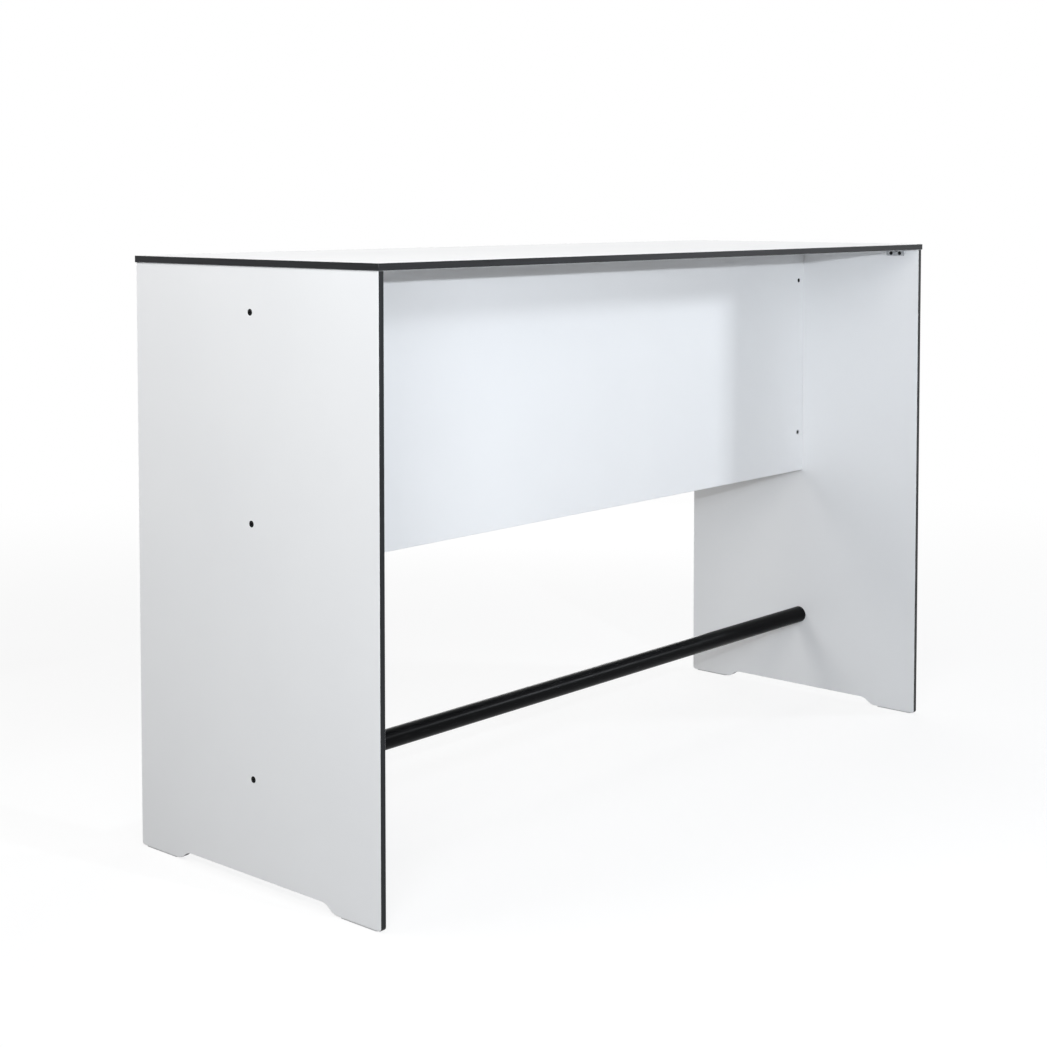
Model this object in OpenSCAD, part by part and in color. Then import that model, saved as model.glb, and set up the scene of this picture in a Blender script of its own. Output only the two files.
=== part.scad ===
// Bar-height table in compact laminate: a top slab on two slab sides, stiffened by a modesty panel
// at mid depth, with a round foot rail between the sides. Millimetres, +Z up. The origin is the
// centre of the footprint, on the floor; +X runs along the table and the front faces -Y.

/* [Table] */
// Length of the top
top_l = 1750; // [1300:10:2200]
// Depth of the top
top_d = 640; // [560:10:900]
// Height of the top's upper face above the floor
table_h = 1100; // [900:10:1200]
// Reach of the top past the side slabs, at its ends and at its front and rear
top_overhang = 2; // [0:0.5:20]

/* [Slabs] */
// Thickness of the top slab
top_t = 13; // [12:1:20]
// Thickness of each side slab
side_t = 12; // [12:1:20]
// Thickness of the modesty panel
panel_t = 13; // [12:1:20]
// Height of the modesty panel's lower edge above the floor
panel_z = 546; // [400:2:700]
// Width of the eased arris along the slabs' edges
arris = 1; // [0.5:0.25:1.5]

/* [Feet of the side slabs] */
// Length of each foot, from the slab's front or rear edge to the start of its ramp
foot_l = 105; // [70:5:140]
// Height of the notch between the feet
notch_h = 15; // [8:1:30]
// Run of the S-shaped ramp from a foot up into the notch
ramp_l = 39; // [30:3:81]
// Radius of the side slab's lower corners
corner_r = 6; // [3:1:12]

/* [Glides] */
// Thickness of the glide under each foot
glide_t = 2; // [1.5:0.5:5]
// Distance from the glide's sides to the slab's faces
glide_inset = 1; // [0.5:0.5:3]
// Distance from the glide's ends to the ends of the foot's flat
glide_margin = 5; // [2:1:15]
// Diameter of the glide's pins
glide_pin_d = 4; // [3:0.5:5]
// Length of the glide's pins
glide_pin_l = 10; // [6:1:16]
// Distance between the glide's two pins
glide_pin_pitch = 44; // [20:2:48]

/* [Foot rail] */
// Outer diameter of the rail
rail_d = 38; // [30:1:50]
// Wall of the rail's tube
rail_wall = 2; // [1.5:0.5:3]
// Height of the rail's axis above the floor
rail_z = 190; // [150:5:300]
// Length of the threaded plug in each end of the rail
plug_l = 30; // [20:1:50]

/* [Joining screws] */
// Thread diameter of the screws through the side slabs
screw_d = 6; // [5:0.5:7]
// Head diameter of those screws, countersunk flush
screw_head_d = 12; // [11:0.5:16]
// Key size of their hex sockets
screw_key = 4; // [3:0.5:5]
// Depth of their hex sockets
screw_key_depth = 2.2; // [1.5:0.1:3]
// Reach of a screw past the far side of its barrel nut
screw_tail = 1; // [0:0.5:4]
// Distance of the upper screws below the underside of the top
screw_drop = 79; // [50:1:120]
// Distance of the lower screws above the modesty panel's lower edge
screw_rise = 94; // [40:1:120]
// Diameter of the barrel nuts in the modesty panel
nut_d = 10; // [9:0.5:14]
// Distance from the panel's end to the barrel nuts
nut_inset = 22; // [16:1:35]
// Depth of the barrel nuts' ends below the panel's faces
nut_recess = 0.5; // [0.2:0.1:1.5]
// Width of the slot in the barrel nuts' front ends
nut_slot_w = 1.4; // [1:0.2:2]
// Depth of that slot
nut_slot_depth = 1.2; // [0.8:0.2:2]

/* [Corner brackets] */
// Length of each angle bracket
bracket_l = 48; // [40:1:80]
// Height of the leg on the slab
bracket_leg = 15; // [15:1:30]
// Depth of the leg under the top
bracket_shelf = 30; // [26:1:50]
// Thickness of the bracket
bracket_t = 2.5; // [2:0.5:3]
// Distance from the side slab's edge to the bracket
bracket_setback = 36; // [20:2:100]
// Distance from the side slabs' inner faces to the centres of the outer panel brackets
bracket_inset = 300; // [150:10:400]
// Distance between a leg's two screws
bracket_pitch = 22; // [18:1:28]
// Thread diameter of the bracket screws
tack_d = 5; // [4:0.5:5]
// Head diameter of the bracket screws
tack_head_d = 9; // [7.5:0.5:9]
// Head height of the bracket screws
tack_head_h = 2.6; // [1.8:0.2:3]
// Key size of the bracket screws' hex sockets
tack_key = 3; // [2.5:0.5:4]
// Depth of those sockets
tack_key_depth = 1.5; // [1:0.1:1.7]
// Outer diameter of the threaded inserts
insert_d = 7.5; // [7:0.5:9]
// Length of the threaded inserts
insert_l = 9; // [8:0.5:9.5]

/* [Clearances] */
// Gap round a screw's shank in a plain hole
hole_gap = 0.3; // [0.1:0.1:0.5]
// Gap between a screw and the thread that holds it
thread_gap = 0.1; // [0.05:0.05:0.2]
// Gap round nuts, plugs, inserts and pins in their seats
seat_gap = 0.1; // [0.05:0.05:0.2]
// Gap round a countersunk head in its seat
sink_gap = 0.2; // [0.1:0.1:0.4]
// Spare depth of a blind hole past what it holds
drill_spare = 1; // [0.5:0.5:2]

/* [Hidden] */

LEFT = -1;
RIGHT = 1;
FRONT = -1;
REAR = 1;
MIDDLE = 0;

white = "#eceeef";
black = "#1d1f22";
steel = "#a9adb1";
brass = "#b59a55";
grey = "#c9cbcc";

// Cutters reach this far past a face
past = 1;

// Underside of the top, and the side slab's faces, edges and height
top_z = table_h - top_t;
outer_x = top_l / 2 - top_overhang;
inner_x = outer_x - side_t;
side_y = top_d / 2 - top_overhang;
side_h = top_z - glide_t;

// Where the foot's flat ends and where the notch's flat starts, from the table's centre line
foot_y = side_y - foot_l;
notch_y = foot_y - ramp_l;
// Two equal arcs, tangent to each other, to the floor and to the notch's ceiling
ramp_r = (ramp_l * ramp_l + notch_h * notch_h) / (4 * notch_h);

glide_y = side_y - (foot_l + corner_r) / 2;
glide_l = foot_l - corner_r - 2 * glide_margin;
glide_w = side_t - 2 * glide_inset;

screw_zs = [panel_z + screw_rise, top_z - screw_drop];
screw_reach = nut_inset + nut_d / 2 + screw_tail;
screw_l = side_t + screw_reach;

bracket_y = side_y - bracket_setback - bracket_l / 2;
bracket_x = inner_x - bracket_inset;
leg_mid = (bracket_leg + bracket_t) / 2;
shelf_mid = (bracket_shelf + bracket_t) / 2;
tack_l = bracket_t + insert_l - drill_spare;

$fn = 48;
// Facets of the rail and of the arcs in the side slabs' outline
fine = 180;

// Rectangle with its four corners cut by the arris, centred on the origin
module eased_rect(w, h) {
    x = w / 2;
    y = h / 2;
    a = arris;
    polygon([
        [a - x, -y], [x - a, -y], [x, a - y], [x, y - a],
        [x - a, y], [a - x, y], [-x, y - a], [-x, a - y]
    ]);
}

// Slab with all its edges eased, standing on z = 0 and centred on x and y
module eased_slab(l, d, h) {
    translate([0, 0, h / 2])
        intersection() {
            translate([0, 0, -h / 2])
                linear_extrude(h)
                    eased_rect(l, d);
            rotate([90, 0, 0])
                translate([0, 0, -d / 2])
                    linear_extrude(d)
                        eased_rect(l, h);
            rotate([90, 0, 90])
                translate([0, 0, -l / 2])
                    linear_extrude(l)
                        eased_rect(d, h);
        }
}

// Children drawn for the left end, mirrored when they belong to the right one
module at_end(end) {
    mirror([end == RIGHT ? 1 : 0, 0, 0])
        children();
}

// Children drawn for the front, mirrored when they belong to the rear
module at_face(face) {
    mirror([0, face == REAR ? 1 : 0, 0])
        children();
}

// Turns what is drawn along +Z so that it runs along +X
module along_x() {
    rotate([0, 90, 0])
        children();
}

// Corner of the foot outside its radius, and the S-shaped side of the notch
module corner_cut() {
    difference() {
        translate([side_y - corner_r, -past])
            square([corner_r + past, corner_r + past]);
        translate([side_y - corner_r, corner_r])
            circle(corner_r, $fn = fine);
    }
}

module ramp_cut() {
    intersection() {
        translate([notch_y, notch_h - ramp_r])
            circle(ramp_r, $fn = fine);
        translate([notch_y, -past])
            square([ramp_l / 2, notch_h + 2 * past]);
    }
    difference() {
        translate([foot_y - ramp_l / 2, -past])
            square([ramp_l / 2, notch_h / 2 + past]);
        translate([foot_y, ramp_r])
            circle(ramp_r, $fn = fine);
    }
}

// Side slab seen from its end: front and rear edges at +-side_y, lower edge at 0
module side_outline() {
    difference() {
        translate([-side_y, 0])
            square([2 * side_y, side_h]);
        translate([-notch_y, -past])
            square([2 * notch_y, notch_h + past]);
        for (m = [0, 1])
            mirror([m, 0]) {
                ramp_cut();
                corner_cut();
            }
    }
}

// Blind hole for a threaded insert, its mouth at the origin, drilled towards +Z
module insert_hole() {
    translate([0, 0, -past])
        cylinder(h = insert_l + drill_spare + past, d = insert_d + 2 * seat_gap);
}

// The two points of a bracket's screws along its length
module screw_pair() {
    for (s = [-0.5, 0.5])
        translate([0, s * bracket_pitch, 0])
            children();
}

// A bracket's place: its corner on the slab at x = 0 and on the top's underside at z = 0
module side_bracket_place(end, face) {
    at_end(end)
        at_face(face)
            translate([-inner_x, -bracket_y, top_z])
                children();
}

module panel_bracket_place(end) {
    translate([end * bracket_x, panel_t / 2, top_z])
        rotate([0, 0, 90])
            children();
}

// Faces of a bracket's legs that its screws pull against: the slab's side and the top's underside
module into_slab() {
    translate([0, 0, -leg_mid])
        rotate([0, -90, 0])
            children();
}

module into_top() {
    translate([shelf_mid, 0, 0])
        children();
}

module every_bracket_place() {
    for (end = [LEFT, RIGHT], face = [FRONT, REAR])
        side_bracket_place(end, face)
            children();
    for (end = [LEFT, MIDDLE, RIGHT])
        panel_bracket_place(end)
            children();
}

module table_top() {
    color(white)
        difference() {
            translate([0, 0, top_z])
                eased_slab(top_l, top_d, top_t);
            every_bracket_place()
                screw_pair()
                    into_top()
                        insert_hole();
        }
}

// Clearance hole and countersink through the side slab, from its outer face at z = 0 towards +Z
module side_screw_hole() {
    hole_d = screw_d + 2 * hole_gap;
    sink_d = screw_head_d + 2 * sink_gap;
    sink_h = (sink_d - hole_d) / 2;
    translate([0, 0, -past])
        cylinder(h = side_t + 2 * past, d = hole_d);
    cylinder(h = sink_h, d1 = sink_d, d2 = hole_d);
    translate([0, 0, -past])
        cylinder(h = past, d = sink_d);
}

module glide_pin_places(face) {
    at_face(face)
        for (s = [-0.5, 0.5])
            translate([0, s * glide_pin_pitch - glide_y, 0])
                children();
}

module side_panel(end) {
    color(white)
        at_end(end)
            difference() {
                translate([-outer_x, 0, glide_t])
                    intersection() {
                        rotate([90, 0, 90])
                            linear_extrude(side_t)
                                side_outline();
                        translate([side_t / 2, 0, 0])
                            eased_slab(side_t, 2 * side_y, side_h);
                    }
                for (z = concat([rail_z], screw_zs))
                    translate([-outer_x, 0, z])
                        along_x()
                            side_screw_hole();
                for (face = [FRONT, REAR]) {
                    side_bracket_place(LEFT, face)
                        screw_pair()
                            into_slab()
                                insert_hole();
                    translate([side_t / 2 - outer_x, 0, glide_t - past])
                        glide_pin_places(face)
                            cylinder(h = glide_pin_l + drill_spare + past,
                                     d = glide_pin_d + 2 * seat_gap);
                }
            }
}

module modesty_panel() {
    color(white)
        difference() {
            translate([0, 0, panel_z])
                eased_slab(2 * inner_x, panel_t, top_z - panel_z);
            for (end = [LEFT, RIGHT], z = screw_zs)
                at_end(end) {
                    translate([-inner_x - past, 0, z])
                        along_x()
                            cylinder(h = screw_reach + drill_spare + past, d = screw_d + 2 * hole_gap);
                    translate([nut_inset - inner_x, panel_t / 2 + past, z])
                        rotate([90, 0, 0])
                            cylinder(h = panel_t + 2 * past, d = nut_d + 2 * seat_gap);
                }
            for (end = [LEFT, MIDDLE, RIGHT])
                panel_bracket_place(end)
                    screw_pair()
                        into_slab()
                            insert_hole();
        }
}

module foot_rail() {
    color(black)
        translate([-inner_x, 0, rail_z])
            along_x()
                difference() {
                    cylinder(h = 2 * inner_x, d = rail_d, $fn = fine);
                    translate([0, 0, -past])
                        cylinder(h = 2 * inner_x + 2 * past, d = rail_d - 2 * rail_wall, $fn = fine);
                }
}

module rail_plug(end) {
    color(grey)
        at_end(end)
            translate([-inner_x, 0, rail_z])
                along_x()
                    difference() {
                        cylinder(h = plug_l, d = rail_d - 2 * rail_wall - 2 * seat_gap);
                        translate([0, 0, -past])
                            cylinder(h = plug_l + 2 * past, d = screw_d + 2 * thread_gap);
                    }
}

// Hex socket, its mouth at the origin, sunk towards +Z
module hex_socket(key, depth) {
    translate([0, 0, -past])
        cylinder(h = depth + past, d = key / cos(30), $fn = 6);
}

// Countersunk screw, its head's face at the origin, driven towards +Z
module countersunk_screw() {
    difference() {
        union() {
            cylinder(h = (screw_head_d - screw_d) / 2, d1 = screw_head_d, d2 = screw_d);
            cylinder(h = screw_l, d = screw_d);
        }
        hex_socket(screw_key, screw_key_depth);
    }
}

module joining_screws(end, zs) {
    color(black)
        at_end(end)
            for (z = zs)
                translate([-outer_x, 0, z])
                    along_x()
                        countersunk_screw();
}

module barrel_nuts(end) {
    nut_l = panel_t - 2 * nut_recess;
    color(steel)
        at_end(end)
            for (z = screw_zs)
                translate([nut_inset - inner_x, 0, z])
                    difference() {
                        rotate([90, 0, 0])
                            cylinder(h = nut_l, d = nut_d, center = true);
                        along_x()
                            cylinder(h = nut_d + 2 * past, d = screw_d + 2 * thread_gap, center = true);
                        translate([0, (nut_slot_depth - nut_l - past) / 2, 0])
                            cube([nut_d + past, nut_slot_depth + past, nut_slot_w], center = true);
                    }
}

// Unequal angle: leg on the slab at x = 0, shelf under the top at z = 0
module bracket() {
    color(steel)
        difference() {
            translate([0, bracket_l / 2, 0])
                rotate([90, 0, 0])
                    linear_extrude(bracket_l)
                        polygon([
                            [0, 0], [0, -bracket_leg], [bracket_t, -bracket_leg],
                            [bracket_t, -bracket_t], [bracket_shelf, -bracket_t], [bracket_shelf, 0]
                        ]);
            screw_pair() {
                into_slab()
                    bracket_hole();
                into_top()
                    bracket_hole();
            }
        }
}

module bracket_hole() {
    cylinder(h = 2 * (bracket_t + past), d = tack_d + 2 * hole_gap, center = true);
}

// Button-head screw driven towards +Z through a bracket whose slab face is at the origin
module bracket_screw() {
    dome_r = (tack_head_d * tack_head_d / 4 + tack_head_h * tack_head_h) / (2 * tack_head_h);
    translate([0, 0, -bracket_t])
        difference() {
            union() {
                cylinder(h = tack_l, d = tack_d);
                intersection() {
                    translate([0, 0, -tack_head_h])
                        cylinder(h = tack_head_h, d = tack_head_d);
                    translate([0, 0, dome_r - tack_head_h])
                        sphere(dome_r);
                }
            }
            translate([0, 0, -tack_head_h])
                hex_socket(tack_key, tack_key_depth);
        }
}

module bracket_screws() {
    color(black)
        screw_pair() {
            into_slab()
                bracket_screw();
            into_top()
                bracket_screw();
        }
}

// Threaded insert, flush with the slab's face at the origin, set towards +Z
module insert() {
    difference() {
        cylinder(h = insert_l, d = insert_d);
        translate([0, 0, -past])
            cylinder(h = insert_l + 2 * past, d = tack_d + 2 * thread_gap);
    }
}

module inserts_top() {
    color(brass)
        every_bracket_place()
            screw_pair()
                into_top()
                    insert();
}

module inserts_side(end) {
    color(brass)
        for (face = [FRONT, REAR])
            side_bracket_place(end, face)
                screw_pair()
                    into_slab()
                        insert();
}

module inserts_panel() {
    color(brass)
        for (end = [LEFT, MIDDLE, RIGHT])
            panel_bracket_place(end)
                screw_pair()
                    into_slab()
                        insert();
}

// Moulded strip with round ends under a foot, held by two pins in the slab's edge
module glide(end, face) {
    color(grey)
        at_end(end)
            translate([side_t / 2 - outer_x, 0, 0]) {
                at_face(face)
                    translate([0, -glide_y, 0])
                        linear_extrude(glide_t) {
                            square([glide_w, glide_l - glide_w], center = true);
                            for (s = [-0.5, 0.5])
                                translate([0, s * (glide_l - glide_w)])
                                    circle(d = glide_w);
                        }
                translate([0, 0, glide_t / 2])
                    glide_pin_places(face)
                        cylinder(h = glide_t / 2 + glide_pin_l, d = glide_pin_d);
            }
}

table_top();
side_panel(LEFT);  // side_panel_left
side_panel(RIGHT);  // side_panel_right
modesty_panel();
foot_rail();
rail_plug(LEFT);  // rail_plug_left
rail_plug(RIGHT);  // rail_plug_right
joining_screws(LEFT, [rail_z]);  // rail_screw_left
joining_screws(RIGHT, [rail_z]);  // rail_screw_right
joining_screws(LEFT, screw_zs);  // panel_screws_left
joining_screws(RIGHT, screw_zs);  // panel_screws_right
barrel_nuts(LEFT);  // barrel_nuts_left
barrel_nuts(RIGHT);  // barrel_nuts_right
side_bracket_place(LEFT, FRONT) bracket();  // bracket_front_left
side_bracket_place(RIGHT, FRONT) bracket();  // bracket_front_right
side_bracket_place(LEFT, REAR) bracket();  // bracket_rear_left
side_bracket_place(RIGHT, REAR) bracket();  // bracket_rear_right
panel_bracket_place(LEFT) bracket();  // bracket_panel_left
panel_bracket_place(MIDDLE) bracket();  // bracket_panel_middle
panel_bracket_place(RIGHT) bracket();  // bracket_panel_right
side_bracket_place(LEFT, FRONT) bracket_screws();  // bracket_screws_front_left
side_bracket_place(RIGHT, FRONT) bracket_screws();  // bracket_screws_front_right
side_bracket_place(LEFT, REAR) bracket_screws();  // bracket_screws_rear_left
side_bracket_place(RIGHT, REAR) bracket_screws();  // bracket_screws_rear_right
panel_bracket_place(LEFT) bracket_screws();  // bracket_screws_panel_left
panel_bracket_place(MIDDLE) bracket_screws();  // bracket_screws_panel_middle
panel_bracket_place(RIGHT) bracket_screws();  // bracket_screws_panel_right
inserts_top();
inserts_side(LEFT);  // inserts_side_left
inserts_side(RIGHT);  // inserts_side_right
inserts_panel();
glide(LEFT, FRONT);  // glide_front_left
glide(RIGHT, FRONT);  // glide_front_right
glide(LEFT, REAR);  // glide_rear_left
glide(RIGHT, REAR);  // glide_rear_right
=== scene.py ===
"""Looks of a bar-height table in compact laminate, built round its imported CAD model.

Lengths are in metres, in the CAD model's own frame: the origin is the centre of the footprint, on
the floor, +X runs along the table, the front faces -Y and +Z is up.
"""

import logging
import math
from collections.abc import Callable, Iterable, Iterator, Sequence
from contextlib import contextmanager
from dataclasses import dataclass
from enum import Enum

import bmesh
import bpy
from mathutils import Matrix, Vector

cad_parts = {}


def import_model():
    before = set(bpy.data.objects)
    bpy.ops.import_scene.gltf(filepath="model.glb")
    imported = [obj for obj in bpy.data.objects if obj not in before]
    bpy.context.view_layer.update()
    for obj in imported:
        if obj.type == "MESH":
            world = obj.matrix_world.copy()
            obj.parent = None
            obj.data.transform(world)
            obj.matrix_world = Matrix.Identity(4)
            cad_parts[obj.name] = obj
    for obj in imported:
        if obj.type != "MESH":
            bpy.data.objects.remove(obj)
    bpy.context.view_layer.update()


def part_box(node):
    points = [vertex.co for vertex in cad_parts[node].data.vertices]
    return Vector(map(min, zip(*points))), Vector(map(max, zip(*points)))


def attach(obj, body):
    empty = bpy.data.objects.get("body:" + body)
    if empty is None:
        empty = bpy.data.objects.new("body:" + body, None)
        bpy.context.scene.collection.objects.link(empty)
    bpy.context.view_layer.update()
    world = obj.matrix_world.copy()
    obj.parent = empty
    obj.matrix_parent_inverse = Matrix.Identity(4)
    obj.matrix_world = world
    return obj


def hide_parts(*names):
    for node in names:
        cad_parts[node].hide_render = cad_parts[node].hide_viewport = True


log = logging.getLogger("bar_table")

Place = tuple[float, float, float]
Colour = tuple[float, float, float]
Pair = tuple[float, float]
Test = Callable[..., bool]

BODY = "root"
# Cutters reach this far past a face
PAST = 0.001
# Two places closer than this are the same place
NEAR = 1e-5
# A face looks along an axis if its normal's share of that axis is above this
FACING = 0.9
# Faces that turn by less than the first angle are one flat face, and by less than the second are
# shaded as one; an edge that turns by more than the third is an arris
FLAT, SMOOTH, ARRIS = (math.radians(angle) for angle in (1, 20, 40))
EASE_STEPS = 2
# Facets round heads and nuts, round holes and small screws, round pins, and of a hex key
HEAD_SIDES, HOLE_SIDES, PIN_SIDES, HEX_SIDES = 48, 32, 24, 6
# Depth and radius of the drill's point under a hex socket, as shares of the socket's own
DRILL_POINT = (1.12, 0.2)
# Noise varies about this value
NOISE_MIDDLE = 0.5


class Named(Enum):
    """Choices whose names also stand within other names."""

    @property
    def word(self) -> str:
        """The choice's name in small letters."""
        return self.name.lower()


class Axis(Named):
    """A direction of the table's frame."""

    X = Vector((1, 0, 0))
    Y = Vector((0, 1, 0))
    Z = Vector((0, 0, 1))

    @property
    def index(self) -> int:
        """Place of this axis in a vector."""
        return "XYZ".index(self.name)

    def sizes(self, along: float, across: float) -> Place:
        """Sizes of a pattern that has one size along this axis and another across it."""
        return tuple(along if axis is self else across for axis in Axis)


class Side(Named):
    """The table's ends, with their signs along X."""

    LEFT = -1
    RIGHT = 1


class Face(Named):
    """The table's long edges, with their signs along Y."""

    FRONT = -1
    REAR = 1


class Slot(Enum):
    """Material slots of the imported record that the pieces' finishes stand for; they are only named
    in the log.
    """

    DECOR = "white_laminate"
    CORE = "black_core"
    BLACK = "black_steel"
    ZINC = "zinc_steel"
    PLASTIC = "grey_plastic"


class Part(Enum):
    """What an edit-mode step selects."""

    VERTEX = "VERT"
    EDGE = "EDGE"
    FACE = "FACE"


# Modelling


def select_only(*objects: bpy.types.Object) -> None:
    """Leaves just these objects selected, the first of them active.

    Args:
        objects: The objects to select.
    """
    bpy.ops.object.select_all(action="DESELECT")
    for obj in objects:
        obj.select_set(True)
    bpy.context.view_layer.objects.active = objects[0]


def middle(part: bmesh.types.BMEdge | bmesh.types.BMFace) -> Vector:
    """Middle of an edge or face of an open mesh."""
    return sum((vertex.co for vertex in part.verts), Vector()) / len(part.verts)


def runs_along(edge: bmesh.types.BMEdge, axis: Axis) -> bool:
    """Whether an edge runs along an axis."""
    run = edge.verts[0].co - edge.verts[1].co
    return all(abs(run[other.index]) < NEAR for other in Axis if other is not axis)


def pair(pitch: float) -> Pair:
    """Places of two things a pitch apart, one on each side of 0."""
    return -pitch / 2, pitch / 2


def turn_to(direction: Sequence[float], place: Sequence[float]) -> Matrix:
    """Turn and shift that take +Z to a direction and the origin to a place."""
    turn = Vector(direction).to_track_quat("Z", "Y").to_matrix().to_4x4()
    return Matrix.Translation(Vector(place)) @ turn


class Shape:
    """A mesh that is modelled from a primitive by edit-mode steps and modifiers."""

    def __init__(self, name: str, obj: bpy.types.Object) -> None:
        """Takes over an object, names it and applies its place, turn and size."""
        self.obj = obj
        self.name(name).settle()

    @classmethod
    def box(cls, name: str, low: Sequence[float], high: Sequence[float]) -> "Shape":
        """A box between two corners.

        Args:
            name: Name of the piece.
            low: Its lowest corner.
            high: Its highest corner.

        Returns:
            The new shape.
        """
        low, high = Vector(low), Vector(high)
        bpy.ops.object.select_all(action="DESELECT")
        bpy.ops.mesh.primitive_cube_add(size=1, location=(low + high) / 2)
        obj = bpy.context.active_object
        obj.scale = high - low
        return cls(name, obj)

    @classmethod
    def turned(cls, name: str, profile: Sequence[Pair], sides: int) -> "Shape":
        """A turned solid along +Z: a disc that is extruded and scaled from station to station.

        Args:
            name: Name of the piece.
            profile: Height and radius of each station, from the first face to the last.
            sides: Number of facets round the axis.

        Returns:
            The new shape.
        """
        (height, radius), *rest = profile
        bpy.ops.object.select_all(action="DESELECT")
        bpy.ops.mesh.primitive_circle_add(
            vertices=sides, radius=radius, fill_type="NGON", location=(0, 0, height)
        )
        shape = cls(name, bpy.context.active_object)
        with shape.editing():
            bpy.ops.mesh.select_all(action="SELECT")
            for next_height, next_radius in rest:
                bpy.ops.mesh.extrude_region_move(
                    TRANSFORM_OT_translate={"value": (0, 0, next_height - height)}
                )
                growth = next_radius / radius
                bpy.ops.transform.resize(
                    value=(growth, growth, 1), center_override=(0, 0, next_height)
                )
                height, radius = next_height, next_radius
            bpy.ops.mesh.select_all(action="SELECT")
            bpy.ops.mesh.normals_make_consistent(inside=False)
        return shape

    def name(self, name: str) -> "Shape":
        """Names the object and its mesh."""
        self.obj.name = self.obj.data.name = name
        return self

    def settle(self) -> "Shape":
        """Moves the object's place, turn and size into its mesh."""
        select_only(self.obj)
        bpy.ops.object.transform_apply(location=True, rotation=True, scale=True)
        return self

    def lay(self, direction: Sequence[float], place: Sequence[float]) -> "Shape":
        """Lays a shape that is made along +Z along a direction, with its origin at a place."""
        self.obj.matrix_world = turn_to(direction, place)
        return self.settle()

    @contextmanager
    def editing(self) -> Iterator[None]:
        """Opens the mesh in edit mode with nothing selected, and closes it after."""
        select_only(self.obj)
        bpy.ops.object.mode_set(mode="EDIT")
        bpy.ops.mesh.select_all(action="DESELECT")
        yield
        bpy.ops.object.mode_set(mode="OBJECT")

    def pick(self, part: Part, test: Test) -> None:
        """Selects, in the open mesh, just the vertices, edges or faces that pass a test.

        Args:
            part: What is selected.
            test: Tells from a vertex, edge or face whether it is wanted.
        """
        bpy.ops.mesh.select_mode(type=part.value)
        bpy.ops.mesh.select_all(action="DESELECT")
        mesh = bmesh.from_edit_mesh(self.obj.data)
        mesh.normal_update()
        every = {Part.VERTEX: mesh.verts, Part.EDGE: mesh.edges, Part.FACE: mesh.faces}[part]
        wanted = [one for one in every if test(one)]
        for one in wanted:
            one.select_set(True)
        mesh.select_flush_mode()
        bmesh.update_edit_mesh(self.obj.data)

    @staticmethod
    def bisect(axis: Axis, place: float, way: int = 1, **options: bool | float) -> None:
        """Bisects the open mesh by a plane across an axis.

        Args:
            axis: Direction across the plane.
            place: Place of the plane along the axis.
            way: 1 if the plane looks along the axis, and -1 if against it.
            options: Further options of the bisection.
        """
        bpy.ops.mesh.select_all(action="SELECT")
        bpy.ops.mesh.bisect(plane_co=axis.value * place, plane_no=axis.value * way, **options)

    @staticmethod
    def flatten() -> None:
        """Dissolves the edges between faces of the open mesh that lie in one plane."""
        bpy.ops.mesh.select_all(action="SELECT")
        bpy.ops.mesh.dissolve_limited(angle_limit=FLAT)

    def round_edges(self, test: Test, radius: float, segments: int) -> None:
        """Rounds the edges that pass a test.

        Args:
            test: Tells from an edge whether it is wanted.
            radius: Width of the rounding along each face.
            segments: Facets of the rounding.
        """
        with self.editing():
            self.pick(Part.EDGE, test)
            bpy.ops.mesh.bevel(
                offset=radius, offset_type="OFFSET", segments=segments, profile=0.5,
                affect="EDGES", clamp_overlap=False,
            )
            bpy.ops.mesh.select_all(action="SELECT")
            bpy.ops.mesh.remove_doubles(threshold=NEAR)

    def ease(self, radius: float) -> None:
        """Eases every arris by a width along each face."""
        self.round_edges(
            lambda edge: edge.is_manifold and edge.calc_face_angle() > ARRIS, radius, EASE_STEPS
        )

    def cut(self, *cutters: "Shape") -> "Shape":
        """Cuts away closed shapes that don't meet each other; they are used up."""
        self._combine("DIFFERENCE", cutters[0].join(*cutters[1:]))
        return self

    def unite(self, other: "Shape") -> None:
        """Fuses another shape into this one; it is used up."""
        self._combine("UNION", other)

    def _combine(self, operation: str, other: "Shape") -> None:
        """Applies a Boolean modifier and deletes the other shape.

        Args:
            operation: The modifier's operation.
            other: The shape that this one is combined with.
        """
        modifier = self.obj.modifiers.new(operation.lower(), "BOOLEAN")
        modifier.operation = operation
        modifier.solver = "EXACT"
        modifier.object = other.obj
        select_only(self.obj)
        bpy.ops.object.modifier_apply(modifier=modifier.name)
        bpy.data.objects.remove(other.obj)

    def join(self, *others: "Shape") -> "Shape":
        """Takes separate shapes into this object as loose solids; they are used up."""
        if others:
            select_only(self.obj, *[other.obj for other in others])
            bpy.ops.object.join()
        return self

    def copy(self, name: str, place: Matrix = Matrix.Identity(4)) -> "Shape":
        """Copies the shape, with a mesh of its own.

        Args:
            name: Name of the copy.
            place: Turn and shift from this shape's place to the copy's.

        Returns:
            The copy.
        """
        select_only(self.obj)
        bpy.ops.object.duplicate(linked=False)
        twin = bpy.context.active_object
        twin.matrix_world = place @ twin.matrix_world
        return Shape(name, twin)

    def copies(self, name: str, places: Iterable[Matrix]) -> "Shape":
        """Copies the shape to several places, as the loose solids of one object."""
        first, *rest = [self.copy(name, place) for place in places]
        return first.join(*rest).name(name)

    def keep_between(self, axis: Axis, low: float, high: float) -> "Shape":
        """Bisects the solid by two planes and keeps what is between them, closed.

        Args:
            axis: Direction across the planes.
            low: Place of the lower plane.
            high: Place of the higher plane.

        Returns:
            This shape.
        """
        with self.editing():
            for place, way in ((low, -1), (high, 1)):
                self.bisect(axis, place, way, use_fill=True, clear_outer=True, threshold=NEAR / 10)
        return self

    def delete(self) -> None:
        """Deletes the shape, once its copies are made."""
        bpy.data.objects.remove(self.obj)

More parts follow.
